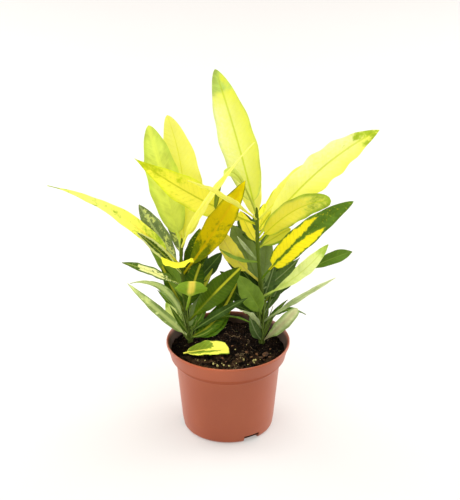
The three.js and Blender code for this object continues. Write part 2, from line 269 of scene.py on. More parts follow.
goldenLeft = [
    leaf(184, (-60, 32, 243), (-75, 46, 297), 31, "lime", widest=0.45, blunt=0.45, tipBlunt=0.6, wave=1),
    leaf(180, (-43, 42, 240), (-58, 62, 301), 36, "yellow", widest=0.38, blunt=0.5, tipBlunt=0.58,
         wave=1),
    leaf(165, (-106, 10, 222), (-168, 0, 255), 19, "orangeRib", widest=0.22, tilt=25, blunt=0.8,
         tipBlunt=1.35),
    leaf(157, (-64, -7, 190), (-84, -22, 217), 10, "paleEdge", tilt=50),
    leaf(162, (-67, 32, 189), (-86, 46, 215), 19, "mottledDark"),
    leaf(168, (-47, -31, 189.5), (-47, -69.6, 204), 29.5, "lemon", tilt=20, yaw=180, fold=18, blunt=0.6,
         wave=2.6, ripples=2.2),
    leaf(155, (-11, 3, 210), (16, -5, 262), 24, "mustard", fold=14, widest=0.45, tipBlunt=0.8),
    leaf(184, (-19, -11, 246), (24, -17, 305), 10.5, "ghost", widest=0.35, yaw=48, fold=14, blunt=0.8,
         tipBlunt=1.5),
    leaf(178, (-44, 58, 207), (-45, 100, 232), 26, "orangeRib", tilt=35),
    leaf(171, (-50, 54, 190), (-58, 94, 208), 19, "mottledDark", tilt=35),
]
greenRight = [
    leaf(152, (72, -12, 210), (116, -16, 246), 23, "halfGold", widest=0.34, wave=0.5, blunt=0.42,
         tipBlunt=0.65, stalkShare=0.15),
    leaf(137, (45, 38, 145), (59, 72, 154), 12, "greyGreen", tilt=50),
    leaf(141, (51, 26, 148), (70, 42, 160), 12, "greyGreen", blunt=1.1, tilt=50),
    leaf(134, (66, -3, 163), (94, -12, 200), 14, "cream", widest=0.6, tilt=45),
    leaf(130, (76, 12, 161), (119, 16, 179), 14, "spoon", widest=0.72, tilt=34, blunt=1.2, tipBlunt=0.85,
         stalkShare=0.3),
    leaf(106, (67, -4, 138), (101, -20, 169), 5.6, "paleGreen", tilt=40),
    leaf(104, (54, 11, 118), (76, 18, 110), 7, "green", tilt=10),
    leaf(85, (47.5, -1, 104), (66.5, -12, 132), 12.5, "paleOlive", wave=1.4, blunt=0.8, tipBlunt=0.3,
         widest=0.66, stalkShare=0.05),
    leaf(114, (23.5, -8, 142), (8.5, -18, 171), 20.5, "olive", fold=8),
    leaf(147, (23, 48, 157), (8, 86, 174), 23, "dark", tilt=45),
    leaf(127, (32, 35, 145), (34, 64, 170), 19, "dark", tilt=55),
    leaf(122, (24, 34, 134), (19, 62, 151), 18, "dark", tilt=50),
    leaf(100, (27, 22, 109), (24, 42, 114), 10, "greyGreen"),
    leaf(87, (27, 0, 100), (21, -7, 121), 10, "greyGreen"),
    leaf(98, (23, -14, 125), (11, -32, 141), 8, "paleGreen", tilt=-15),
    leaf(149, (50, 46, 157), (72, 84, 160), 16, "green", tilt=25),
    leaf(124, (52, 42, 131), (74, 76, 134), 18, "ribbed", tilt=30),
    leaf(118, (21, 46, 125), (12, 84, 124), 18, "green", tilt=25),
    leaf(97, (33, 40, 104), (30, 76, 101), 15, "flecked", tilt=20),
]
greenLeft = [
    leaf(143, (-72, -4, 167), (-99, -22, 186), 10, "yellowWaist", tilt=35),
    leaf(122, (-54, 28, 151), (-77, 40, 174), 17, "olive"),
    leaf(114, (-33, 2, 151), (-26, -5, 176), 19, "ribbed"),
    leaf(117, (-35.5, -28, 156), (-33, -58, 180), 30, "goldPatch", tilt=58, yaw=180, hook=-12, fold=3,
         widest=0.6, blunt=0.6, stalkShare=0.42),
    leaf(104, (-15, -22, 151), (12, -46, 193), 21.5, "glossy", widest=0.55, fold=14),
    leaf(88, (-13, 4, 111), (8, -2, 154), 16, "ribbed", fold=16),
    leaf(92, (-10, -22, 131), (18, -44, 160), 8, "dark"),
    leaf(89, (-16, 14, 98), (2, 12, 117), 17, "ribbed"),
    leaf(98, (-8, -12, 124), (21, -34, 129), 7, "green", tilt=-20),
    leaf(87, (-66, 0, 122), (-95, -14, 160), 10, "paleRib", widest=0.35, tilt=50),
    leaf(88, (-60, 16, 136), (-95, 20, 143), 8.4, "paleRib", widest=0.34, tilt=34, blunt=0.7,
         tipBlunt=1.1),
    leaf(98, (-55, 34, 111), (-70, 52, 119), 5, "green"),
    leaf(91, (-51, 20, 104), (-61, 28, 118), 13, "cream", fold=6),
    leaf(139, (-30, 26, 168), (-22, 36, 198), 17, "flecked"),
    leaf(128, (-30, 44, 140), (-21, 72, 154), 13, "dark", tilt=50),
    leaf(135, (-22, 36, 148), (-6, 58, 158), 16, "dark", tilt=45),
    leaf(121, (-27, 22, 135), (-15, 32, 153), 7, "limeEdge"),
    leaf(127, (-48, 44, 131), (-55, 76, 136), 17, "ribbed", tilt=30),
    leaf(131, (-32, 52, 146), (-28, 90, 149), 17, "halfGold", tilt=30),
    leaf(97, (-43, 45, 104), (-46, 80, 101), 15, "green", tilt=20),
]
extraLeaves = [  # small ones that only show up close, each with its stem
    ("right", leaf(172, (10, 4, 177), (-8, 6, 187), 4, "olive", tilt=40)),
    ("right", leaf(172, (18, 14, 183), (9, 14, 196), 4, "paleGreen")),
    ("right", leaf(92, (42, 16, 108), (58, 22, 124), 5, "green")),
    ("right", leaf(96, (20, 8, 118), (4, 8, 124), 6, "dark")),
    ("right", leaf(110, (14, 26, 132), (-8, 36, 148), 13, "dark")),
    ("right", leaf(108, (17, 16, 124), (2, 18, 140), 16, "dark")),
    ("right", leaf(146, (17, 26, 172), (4, 36, 198), 24, "deep")),
    ("right", leaf(136, (36, 22, 168), (36, 28, 196), 15, "deep")),
    ("right", leaf(132, (14, 30, 152), (-6, 44, 170), 15, "dark")),
    ("right", leaf(112, (48, 26, 133), (60, 36, 158), 10, "greyGreen")),
    ("right", leaf(126, (39, 14, 144), (45, 20, 163), 10, "greyGreen")),
    ("left", leaf(140, (-34, 24, 170), (-27, 30, 197), 17, "flecked")),
    ("left", leaf(94, (-32, 10, 112), (-28, 14, 140), 12, "deep")),
    ("left", leaf(96, (-28, 4, 112), (-20, 2, 134), 7, "green")),
    ("left", leaf(90, (-46, 8, 106), (-56, 8, 124), 5, "green")),
    ("left", leaf(110, (-52, 22, 132), (-64, 28, 158), 13, "ribbed")),
    ("left", leaf(88, (-22, 6, 96), (-8, 2, 112), 5, "green")),
]
shedLeaf = leaf((-43, -14, 84.5), (-21, -8, 84.9), (0.5, -3.5, 84.5), 32, "shed", widest=0.6, blunt=0.36,
                tipBlunt=0.13, tilt=-4, fold=10, wave=0.4, stalkShare=0.08)  # its start is a point


def stemAt(path, z):
    # a smooth curve through the stem's points, read at a height
    points = np.array(path, float)
    heights = points[:, 2]
    slopes = np.gradient(points[:, :2], heights, axis=0)
    i = int(np.clip(np.searchsorted(heights, z) - 1, 0, len(heights) - 2))
    gap = heights[i + 1] - heights[i]
    u = (z - heights[i]) / gap
    a, b = 2 * u**3 - 3 * u**2 + 1, u**3 - 2 * u**2 + u
    c, d = -2 * u**3 + 3 * u**2, u**3 - u**2
    xy = a * points[i, :2] + b * gap * slopes[i] + c * points[i + 1, :2] + d * gap * slopes[i + 1]
    return np.array([xy[0], xy[1], z])


def smooth(x):
    x = np.clip(x, 0, 1)
    return x * x * (3 - 2 * x)


def unit(v):
    return v / np.maximum(np.linalg.norm(v, axis=-1, keepdims=True), 1e-9)


def turned(v, axis, angle):
    # rows of v turned about rows of axis by rows of angle
    c, s = np.cos(angle)[:, None], np.sin(angle)[:, None]
    return v * c + np.cross(axis, v) * s + axis * (v * axis).sum(1, keepdims=True) * (1 - c)


def leafMidrib(root, row):
    # ring by ring: the share of the blade, the share of the leaf, the midrib's point, the ways to the
    # side and up, and the length so far
    form, stalk = leafForm, row["stalkShare"]
    root, mid, tip = (np.array(p, float) for p in (root, row["mid"], row["tip"]))
    pull = 2 * mid - root / 2 - tip / 2
    reach = np.linalg.norm(mid - root) + np.linalg.norm(tip - mid)
    bladeRings = max(form["fewestRings"], int(reach * (1 - stalk) / form["step"]))
    stalkRings = max(form["fewestStalkRings"], int(reach * stalk / form["stalkStep"]))
    run = np.linspace(0, 1, bladeRings)
    blade = run - form["crowding"] * np.sin(math.tau * run) / math.tau  # a little closer at both ends
    s = np.concatenate([np.zeros(stalkRings), blade])
    t = np.concatenate([np.linspace(0, stalk, stalkRings, endpoint=False), stalk + blade * (1 - stalk)])
    middle = ((1 - t)**2)[:, None] * root + (2 * t * (1 - t))[:, None] * pull + (t**2)[:, None] * tip
    along = unit((1 - t)[:, None] * (pull - root) + t[:, None] * (tip - pull))
    tilt, yaw = math.radians(row["tilt"]), math.radians(row["yaw"])
    looks = np.array([math.sin(tilt) * math.sin(yaw), -math.sin(tilt) * math.cos(yaw), math.cos(tilt)])
    across = unit(np.cross(tip - root, looks))
    side = unit(across - along * (along @ across)[:, None])
    side = turned(side, along, math.radians(row["twist"]) * (t - 0.5))
    distance = np.concatenate([[0], np.cumsum(np.linalg.norm(np.diff(middle, axis=0), axis=1))])
    return s, t, middle, side, np.cross(side, along), distance


def leafMesh(root, row, number, chance):
    form = leafForm
    s, t, middle, side, up, distance = leafMidrib(root, row)
    v = np.array([-a for a in reversed(acrossPlaces[1:])] + acrossPlaces)  # -1 and 1 are the edges
    edge, swell = np.abs(v), np.sin(math.pi * s)
    spread = smooth(s / form["stalkBlend"])[:, None]  # 0 along the stalk, 1 along the blade

    # the outline
    skew = math.log(0.5) / math.log(row["widest"])
    power = np.where(s < row["widest"], row["blunt"], row["tipBlunt"] or row["blunt"])
    half = row["wide"] / 2 * np.sin(math.pi * np.clip(s, 0, 1)**skew).clip(0)**power
    half = np.maximum(half, np.where(s < 0.05, form["stalkHalf"], form["tipHalf"]))
    phase = math.tau * row["ripples"] * s + number * form["phaseShift"]
    ripple, small, scallop = (
        np.sin(phase[:, None] * pace + np.where(v < 0, *leafPhases[key]))
        for key, pace in (("ripple", 1), ("small", form["smallPace"]), ("scallop", form["scallopPace"])))
    out = half[:, None] * v * (1 + row["scallop"] * scallop * swell[:, None])
    size = np.abs(out)

    # how far the blade rises: folded, waved, with a margin that rolls under and quilted by its side veins
    fold = half * math.tan(math.radians(row["fold"])) * swell
    wave = row["wave"] * swell[:, None] * (ripple * edge**1.6 + form["smallWave"] * small * edge**2.5)
    lift = fold[:, None] * edge**1.15 + wave - form["roll"] * half[:, None] * swell[:, None] * edge**4
    veins = (distance[:, None] - form["veinSlope"] * size - form["veinCurve"] * size**2) / form["veinGap"]
    veins += np.where(v < 0, 0.5, 0.0)  # the two sides' veins alternate
    inner = np.sin(math.pi * edge.clip(0, 1))**0.7 * spread * smooth(size / 4)
    lift += form["quilt"] * inner * np.cos(math.tau * veins)
    bend = math.radians(row["hook"]) * smooth((s - form["hookFrom"]) / (1 - form["hookFrom"]))**2
    lift -= np.sin(bend)[:, None] * distance[-1] * form["hookDrop"]  # a hooked tip curls down

    # upper and lower face
    rib = np.exp(-(size / form["ribHalf"])**2) * (1 - form["ribTaper"] * s[:, None])
    thin = (form["thick"] - form["edge"]) / 2 * edge**6
    bladeTop = form["thick"] / 2 - form["groove"] * rib - thin
    bladeLow = -form["thick"] / 2 - form["ribDrop"] * rib + thin
    stalk = form["stalkThick"] / 2 * np.sqrt(np.clip(1 - v**2, 0.02, 1))
    top, low = spread * bladeTop + (1 - spread) * stalk, spread * bladeLow - (1 - spread) * stalk
    base = middle[:, None] + side[:, None] * out[..., None]
    upper = base + up[:, None] * (lift + top)[..., None]
    lower = base + up[:, None] * (lift + low)[..., None]
    rings = np.concatenate([upper, lower[:, ::-1]], axis=1)
    n, sides = rings.shape[:2]
    faces = [face[::-1] for face in ringFaces(n, sides)]
    last = (n - 1) * sides
    for k in range(len(v) - 1):
        a, b, c, d = k, k + 1, sides - 2 - k, sides - 1 - k
        faces += [(c, d, a, b), (last + d, last + c, last + b, last + a)]

    placesAcross = np.repeat(np.concatenate([v, v[::-1]])[None], n, 0)
    sizesAcross = np.concatenate([out, out[:, ::-1]], axis=1)
    maps = {
        "leafPlace": (np.repeat(t[:, None], sides, 1), placesAcross),
        "leafSize": (np.repeat(distance[:, None], sides, 1) + chance * form["patternShift"], sizesAcross),
    }
    maps = {key: np.stack(pair, -1).reshape(-1, 2) for key, pair in maps.items()}
    return rings.reshape(-1, 3), faces, maps


# Leaf looks: gold is the variegated colour, green the rest and pale a bleached tone. Stops run from
# stalk (0) to tip (1): band is how far green reaches out from the midrib, margin how far in from the
# edge (shares of the half width), cover how much green there is all over, and bleach how pale the
# blade is. Spots are (place, side, length, breadth, amount) of green, or of gold where amount is below 0.
lookDefaults = {
    "gold": (0.86, 0.84, 0.13), "litTip": None, "pale": (0.95, 0.96, 0.50), "green": (0.075, 0.15, 0.010),
    "rib": (0.45, 0.50, 0.05), "ribHalf": 0.5, "ribStops": [(0, 1), (0.9, 0.6), (1, 0)],
    "band": None, "margin": None, "cover": [(0, 0)], "bleach": [(0, 0.1)], "sheenSide": 0.0,
    "spots": [], "ragged": 0.35, "patch": 0.5, "mottle": 0.25, "soft": 0.06, "specks": 0.0,
    "veinTone": 0.12, "glow": 0.42, "greenGlow": 0.16, "rough": 0.45, "shine": 0.05, "ribGold": 0.4,
}
leafLooks = {
    "tallPale": dict(
        gold=(0.84, 0.86, 0.10), pale=(0.97, 0.98, 0.62), green=(0.60, 0.80, 0.16),
        rib=(0.50, 0.62, 0.03), cover=[(0, 0.35), (0.1, 0.25), (0.4, 0.2), (0.82, 0.15), (0.9, 0.9)],
        margin=[(0, 0.25), (0.35, 0.02)], bleach=[(0, 0.05), (0.35, 0.4), (0.75, 0.5), (0.9, 0)],
        sheenSide=-0.9, patch=0.3, soft=0.22, ribHalf=0.8, veinTone=0.07,
        spots=[(0.93, 0.6, 0.06, 0.7, -0.5)]),
    "yellow": dict(
        gold=(0.86, 0.84, 0.12), green=(0.45, 0.55, 0.05), rib=(0.66, 0.68, 0.05),
        cover=[(0, 0.4), (0.2, 0.15), (1, 0.2)], soft=0.25, patch=0.4, bleach=[(0, 0.1), (0.6, 0.35)]),
    "ghost": dict(
        gold=(0.92, 0.91, 0.24), pale=(0.97, 0.97, 0.55), rib=(0.88, 0.88, 0.16), glow=0.6,
        bleach=[(0, 0.3), (1, 0.9)], veinTone=0.04),
    "yellowRib": dict(
        gold=(0.90, 0.90, 0.16), pale=(0.97, 0.98, 0.66), green=(0.52, 0.68, 0.06),
        rib=(0.52, 0.62, 0.03), cover=[(0, 0.55), (0.12, 0.2), (0.78, 0.16), (0.84, 0.5), (1, 0.5)],
        soft=0.12, patch=0.9, mottle=0.5, greenGlow=0.35,
        bleach=[(0, 0.05), (0.3, 0.25), (0.5, 0.5), (0.8, 0.5), (0.9, 0.1)], sheenSide=-0.8, ribHalf=0.8,
        veinTone=0.1),
    "curled": dict(
        gold=(0.80, 0.75, 0.03), pale=(0.97, 0.96, 0.25), green=(0.42, 0.55, 0.04),
        rib=(0.52, 0.60, 0.02),
        cover=[(0, 0.4), (0.12, 0.1), (0.5, 0.15), (0.72, 0.38), (0.85, 0.5), (1, 0.8)], patch=0.9,
        mottle=0.5, margin=[(0, 0.2), (0.5, 0.1), (0.72, 0.3), (1, 0.5)], soft=0.2, veinTone=0.2,
        bleach=[(0, 0), (0.4, 0.35), (1, 0.5)]),
    "streaked": dict(
        gold=(0.92, 0.87, 0.07), pale=(0.95, 0.95, 0.26), green=(0.62, 0.74, 0.03),
        rib=(0.32, 0.40, 0.01), ribHalf=0.7, margin=[(0, 0.1), (0.6, 0.1), (1, 0.3)],
        cover=[(0, 0.2), (0.15, 0.05), (0.5, 0.12), (0.66, 0.28), (0.9, 0.5), (1, 1)], patch=0.9,
        greenGlow=0.4, mottle=0.9, soft=0.24, bleach=[(0, 0), (0.3, 0.2), (0.6, 0.2), (1, 0)],
        veinTone=0.15, spots=[(0.66, 0.55, 0.05, 0.35, 0.25)], specks=0.3),
    "limeEdge": dict(
        gold=(0.72, 0.72, 0.05), green=(0.28, 0.42, 0.03), margin=[(0, 0.4), (1, 0.2)]),
    "darkEdge": dict(
        gold=(1.0, 0.89, 0.03), green=(0.06, 0.12, 0.01), margin=[(0, 0.5), (1, 0.25)]),
    "waxy": dict(
        gold=(0.88, 0.81, 0.04), pale=(0.95, 0.92, 0.30), green=(0.42, 0.45, 0.07),
        rib=(0.62, 0.52, 0.16), cover=[(0, 0.45), (0.3, 0.2), (1, 0.2)], patch=0.6, soft=0.2,
        bleach=[(0, 0.2), (1, 0.5)], veinTone=0.3),
    "oliveTip": dict(
        gold=(0.66, 0.74, 0.10), green=(0.20, 0.28, 0.02), glow=0.3,
        cover=[(0, 0), (0.72, 0.0), (0.78, 1)], soft=0.1),
    "lime": dict(
        gold=(0.86, 0.91, 0.20), pale=(0.94, 0.98, 0.42), green=(0.57, 0.73, 0.13),
        rib=(0.82, 0.88, 0.20), cover=[(0, 0.7), (0.2, 0.5), (0.5, 0.4), (0.85, 0.6), (1, 0.75)],
        margin=[(0, 0.5), (0.5, 0.35), (1, 0.5)], patch=0.6, soft=0.35, ribHalf=2.2,
        ribStops=[(0, 0), (0.35, 0.2), (0.6, 0.8), (0.95, 0.6)], veinTone=0.2,
        bleach=[(0, 0), (0.5, 0.3)], glow=0.5, greenGlow=0.4),
    "orangeRib": dict(
        gold=(0.90, 0.87, 0.12), pale=(0.94, 0.96, 0.40), green=(0.44, 0.57, 0.04),
        rib=(0.80, 0.50, 0.04), ribHalf=0.8, ribStops=[(0, 1), (0.25, 0.7), (0.4, 0)],
        cover=[(0, 0.6), (0.15, 0.55), (0.25, 0.45), (0.4, 0.3), (0.7, 0.28), (0.85, 0.42), (1, 0.6)],
        patch=0.9, greenGlow=0.35, mottle=0.9, soft=0.2,
        bleach=[(0, 0), (0.3, 0.1), (0.6, 0.5), (1, 0.6)]),
    "paleEdge": dict(
        gold=(0.72, 0.76, 0.34), green=(0.08, 0.15, 0.02), band=[(0, 0.5), (1, 0.6)], ragged=1.0,
        mottle=0.6, specks=0.5),
    "mottledDark": dict(
        gold=(0.76, 0.80, 0.28), green=(0.25, 0.33, 0.12), rib=(0.62, 0.70, 0.30),
        cover=[(0, 0.5), (0.5, 0.55), (1, 0.6)], patch=1.4, mottle=0.8, ribHalf=0.9, specks=0.4,
        margin=[(0, 0.26), (1, 0.34)]),
    "lemon": dict(
        glow=0.62, gold=(1.0, 0.94, 0.08), pale=(1.0, 0.96, 0.24), rib=(0.94, 0.84, 0.10),
        bleach=[(0, 0), (0.6, 0.2)]),
    "mustard": dict(
        # its tip colour is painted light, brighter where light falls
        gold=(0.76, 0.61, 0.002), litTip=(0.99, 0.86, 0.004), green=(0.20, 0.27, 0.006),
        rib=(0.80, 0.56, 0.004), ribHalf=1.1, ribStops=[(0, 0.3), (0.15, 0.8), (0.8, 0.7), (1, 0)],
        cover=[(0, 0.95), (0.14, 0.75), (0.3, 0.42), (0.6, 0.34), (0.75, 0.1), (1, 0.05)], patch=0.7,
        mottle=0.9, glow=0.25, soft=0.2, specks=0.2, bleach=[(0, 0)],
        margin=[(0, 0.1), (0.6, 0), (0.7, 0.1), (1, 0.16)],
        spots=[(0.2, -0.6, 0.16, 0.5, 0.6), (0.24, 0.5, 0.12, 0.4, 0.45), (0.55, -0.6, 0.25, 0.5, -0.15)]),
    "halfGold": dict(
        gold=(1.0, 0.88, 0.03), green=(0.15, 0.28, 0.025), rib=(0.10, 0.19, 0.010),
        band=[(0, 0.5), (0.14, 0.14), (0.3, 0.1), (0.5, 0.2), (0.62, 0.45), (0.74, 0.9)],
        margin=[(0, 0.12), (0.3, 0.08), (0.6, 0.12), (0.72, 0.6)], ragged=0.9, mottle=0.6,
        cover=[(0, 0.8), (0.1, 0.6), (0.14, 0.0), (0.6, 0.0), (0.74, 0.75), (0.82, 1)], patch=0.6,
        spots=[(0.72, -0.55, 0.10, 0.35, -0.55)], specks=0.3, veinTone=0.2, bleach=[(0, 0)]),
    "greyGreen": dict(
        gold=(0.34, 0.42, 0.18), green=(0.10, 0.17, 0.04), cover=[(0, 0.8), (1, 0.7)], patch=0.6,
        soft=0.2, rib=(0.34, 0.42, 0.18)),
    "green": dict(
        gold=(0.28, 0.40, 0.05), green=(0.085, 0.175, 0.014), cover=[(0, 0.9), (1, 0.85)], soft=0.2,
        rib=(0.28, 0.38, 0.06)),
    "spoon": dict(
        gold=(0.34, 0.46, 0.08), green=(0.13, 0.24, 0.025), cover=[(0, 0.6), (0.5, 0.9)], soft=0.2,
        rib=(0.22, 0.32, 0.05)),
    "cream": dict(
        gold=(0.80, 0.86, 0.32), pale=(0.97, 0.98, 0.78), green=(0.48, 0.62, 0.13), glow=0.5,
        greenGlow=0.35, cover=[(0, 0.95), (0.15, 0.7), (0.35, 0.3), (0.8, 0.2), (0.9, 0.7)],
        bleach=[(0, 0), (0.4, 0.25), (0.7, 0.6), (0.9, 0.4)], patch=0.7, mottle=0.4, soft=0.3,
        rib=(0.60, 0.64, 0.16), veinTone=0.25),
    "paleGreen": dict(
        gold=(0.74, 0.78, 0.50), green=(0.46, 0.55, 0.26), cover=[(0, 0.8), (1, 0.4)], soft=0.3,
        rib=(0.36, 0.46, 0.14)),
    "paleOlive": dict(
        gold=(0.84, 0.85, 0.54), green=(0.38, 0.51, 0.16), rib=(0.52, 0.42, 0.26),
        cover=[(0, 1.0), (0.25, 0.75), (0.5, 0.5), (1, 0.35)], ribHalf=1.6, veinTone=0.3,
        margin=[(0, 0.6), (1, 0.3)], soft=0.3, mottle=0.4),
    "olive": dict(
        gold=(0.38, 0.48, 0.07), green=(0.24, 0.38, 0.042), cover=[(0, 0.85), (1, 0.7)], soft=0.3,
        rib=(0.24, 0.36, 0.04), shine=0.06, rough=0.34),
    "dark": dict(
        gold=(0.12, 0.20, 0.03), green=(0.042, 0.088, 0.010), cover=[(0, 0.9), (1, 0.8)], soft=0.3,
        rib=(0.16, 0.24, 0.05)),
    "deep": dict(
        gold=(0.34, 0.42, 0.13), green=(0.26, 0.36, 0.11), cover=[(0, 0.9), (1, 0.8)], soft=0.3,
        rib=(0.16, 0.24, 0.05), greenGlow=0.08),
    "ribbed": dict(
        gold=(0.60, 0.60, 0.04), green=(0.055, 0.125, 0.005), cover=[(0, 0.95), (1, 0.85)],
        rib=(0.62, 0.60, 0.04), ribHalf=1.0, ribStops=[(0, 0.2), (0.4, 0.4), (0.55, 1), (0.9, 1)],
        patch=0.4, shine=0.06),
    "glossy": dict(
        gold=(0.50, 0.56, 0.03), green=(0.075, 0.148, 0.003), cover=[(0, 1), (1, 0.85)],
        rib=(0.62, 0.62, 0.03), ribHalf=1.0, ribStops=[(0, 0.1), (0.5, 0.25), (0.62, 1), (0.9, 1)],
        patch=0.4, veinTone=0.05, rough=0.32, spots=[(0.05, 0, 0.5, 1.5, 0.3)]),
    "goldPatch": dict(
        gold=(0.76, 0.68, 0.07), greenGlow=0.34, green=(0.31, 0.47, 0.04), rib=(0.99, 0.88, 0.16),
        ribHalf=3.2, ribStops=[(0, 0), (0.45, 0.2), (0.6, 1), (1, 1)],
        cover=[(0, 0.95), (0.6, 0.95), (1, 0.9)], patch=0.4, shine=0.08, ribGold=1),
    "paleRib": dict(
        gold=(0.88, 0.92, 0.50), green=(0.38, 0.52, 0.15), cover=[(0, 0.65), (1, 0.45)],
        rib=(0.78, 0.84, 0.36), ribHalf=1.7, margin=[(0, 0.1), (1, 0.3)]),
    "yellowWaist": dict(
        gold=(0.96, 0.95, 0.56), green=(0.13, 0.23, 0.03), rib=(0.50, 0.56, 0.10),
        cover=[(0, 0.8), (0.3, 0.62), (0.45, 0.3), (0.7, 0.36), (0.8, 0.75)], patch=1.3,
        margin=[(0, 0.3), (1, 0.3)], mottle=0.9, specks=0.5, glow=0.5),
    "flecked": dict(
        gold=(0.72, 0.70, 0.05), green=(0.09, 0.17, 0.012), cover=[(0, 0.75), (1, 0.66)], patch=0.9,
        mottle=0.8, specks=0.7, rib=(0.34, 0.42, 0.05)),
    "shed": dict(
        gold=(1.0, 0.94, 0.07), green=(0.27, 0.40, 0.03), rib=(0.92, 0.84, 0.10), ribHalf=1.1,
        cover=[(0, 0.5), (0.3, 0.5), (0.6, 0.45), (0.75, 0.2), (1, 0.1)], patch=0.8, mottle=0.9,
        margin=[(0, 0.0), (1, 0.1)], glow=0.02, greenGlow=0.02,
        spots=[(0.42, -0.55, 0.32, 0.6, 0.6), (0.45, 0.45, 0.35, 0.25, 0.4), (0.5, 1.0, 0.9, 0.3, -0.8)]),
}


# The grains that mottle a leaf: how fine they are along and across it, per vein or per millimetre
leafGrain = {"streakAlong": 0.8, "streakAcross": 0.11, "cloudAlong": 0.045, "cloudAcross": 0.07,
             "blotchAlong": 0.8, "blotch": 0.36, "speck": 0.55, "pores": 1.6}


def leafMaterial(name):
    look = {**lookDefaults, **leafLooks[name]}
    finish = Finish(name + "Leaf")
    t, v, _ = finish.parts(finish.uv("leafPlace"))
    along, lateral, _ = finish.parts(finish.uv("leafSize"))
    edge, out = abs(v), abs(lateral)
    veins = along - out * leafForm["veinSlope"] - out * out * leafForm["veinCurve"]
    veins = veins / leafForm["veinGap"]
    veins = veins + finish.fade(v, 0.001, -0.001) * 0.5  # the two sides' veins alternate
    line = abs(finish.sum("FRACT", veins) - 0.5)  # 0.5 on a vein, 0 half way between two
    fine = leafGrain
    streak = finish.joined(veins * fine["streakAlong"], lateral * fine["streakAcross"], along * 0.002)
    streak = finish.grain(streak, 1.0, 3.0, 0.6) - 0.5
    cloud = finish.joined(along * fine["cloudAlong"], lateral * fine["cloudAcross"], 3.7)
    cloud = finish.grain(cloud, 1.0, 2.0) - 0.5
    blotch = finish.joined(along * fine["blotchAlong"], lateral, 5.2)
    blotch = finish.grain(blotch, fine["blotch"], 3.0, 0.6) - 0.5
    speck = finish.grain(finish.joined(along, lateral, 1.3), fine["speck"], 1.0)

    # green where the band, the margin or the cover says so, with a ragged edge that follows the veins
    rag = streak + blotch * look["mottle"]
    cover = finish.along(t, look["cover"]) - 0.5 + (rag + cloud * 0.6) * look["patch"]
    for place, side, length, breadth, amount in look["spots"]:
        far = ((t - place) / length)**2 + ((v - side) / breadth)**2  # 1 at the spot's rim
        cover = cover + finish.most(1 - far, 0) * amount
    field = cover
    if look["band"]:
        field = finish.most(field, finish.along(t, look["band"]) - edge + rag * look["ragged"] * 0.5)
    if look["margin"]:
        field = finish.most(field, finish.along(t, look["margin"]) + edge - 1 + rag * look["ragged"] * 0.5)
    green = finish.fade(field, -look["soft"], look["soft"])
    if look["specks"]:
        green = green * (1 - finish.fade(speck, 0.64, 0.70) * look["specks"])
    gold = look["gold"]
    # painted light: the blade is brighter towards the tip, as lit, and darker below, as in shade
    if look["litTip"]:
        gold = finish.mix(finish.fade(t, 0.62, 0.84), look["gold"], look["litTip"])
    gold = finish.mix(finish.fade(cloud + blotch * 0.4, -0.15, 0.3) * 0.6, gold, lit(look["gold"], 0.8))
    # painted sheen: one half of the blade is made paler, as where light falls on it
    bleach = finish.along(t, look["bleach"]) * (1 + v * look["sheenSide"]) * (1 + blotch * 1.5)
    gold = finish.mix(finish.least(finish.most(bleach, 0), 1), gold, look["pale"])
    leafGreen = finish.mix(finish.fade(cloud + rag * 0.5, -0.2, 0.3), look["green"], lit(look["green"], 0.6))
    colour = finish.mix(green, gold, leafGreen)
    veinLine = finish.fade(line, 0.34, 0.5) * finish.fade(out, 0.4, 2.0) * finish.fade(edge, 1.0, 0.7)
    colour = finish.mix(veinLine * look["veinTone"], colour, look["rib"])
    rib = finish.fade(out, look["ribHalf"] * 1.5, look["ribHalf"] * 0.5) * finish.along(t, look["ribStops"])
    colour = finish.mix(rib, colour, look["rib"])

    pores = finish.grain(finish.joined(along, lateral, 0.2), fine["pores"], 2.0)
    relief = finish.fade(line, 0.5, 0.25) * 0.8 + pores * 0.25
    normal = finish.bump(relief, 0.35, 0.0004)
    surface = finish.plastic({
        "Base Color": colour, "Roughness": cloud * 0.12 + look["rough"], "Normal": normal,
        "Specular IOR Level": look["shine"],
    })
    goldLight = finish.node("ShaderNodeBsdfTranslucent", sockets={0: (*lit(look["gold"], 1.08), 1)})
    greenLight = finish.node("ShaderNodeBsdfTranslucent", sockets={0: (*lit(look["green"], 1.7), 1)})
    green = green * (1 - rib * look["ribGold"])
    light = finish.node("ShaderNodeMixShader", sockets={0: green, 1: goldLight, 2: greenLight})
    share = green * (look["greenGlow"] - look["glow"]) + look["glow"]
    return finish.shade(finish.node("ShaderNodeMixShader", sockets={0: share, 1: surface, 2: light}))


def lit(colour, gain):
    return tuple(min(c * gain, 1.0) for c in colour)


leafMaterials = {name: leafMaterial(name) for name in leafLooks}
print("leaf finishes:", len(leafMaterials))

chances = random.Random(11)


def addLeaf(name, stem, row, number, nodes):
    root = stemAt(stems[stem], row["start"]) if stem else row["start"]
    points, faces, maps = leafMesh(root, row, number, chances.random())
    addPiece(name, points, faces, leafMaterials[row["look"]], nodes, maps)


growths = [  # title, stem, rows, node, slot and the first leaf's number on its stem
    ("leftGreen", "left", greenLeft, "left_green_growth", "green_leaf", 0),
    ("leftGolden", "left", goldenLeft, "left_golden_growth", "golden_leaf", len(greenLeft)),
    ("rightGreen", "right", greenRight, "right_green_growth", "green_leaf", 0),
    ("rightGolden", "right", goldenRight, "right_golden_growth", "golden_leaf", len(greenRight)),
]
for title, stem, rows, node, slotName, first in growths:
    for i, row in enumerate(rows):
        addLeaf(f"{title}Leaf{i + 1:02d}", stem, row, first + i, [node])
for i, (stem, row) in enumerate(extraLeaves):
    addLeaf(f"{stem}SmallLeaf{i + 1:02d}", stem, row, i * 3, None)
addLeaf("shedLeaf", None, shedLeaf, 0, ["shed_leaf"])
print("leaves:", sum(len(growth[2]) for growth in growths) + len(extraLeaves) + 1)


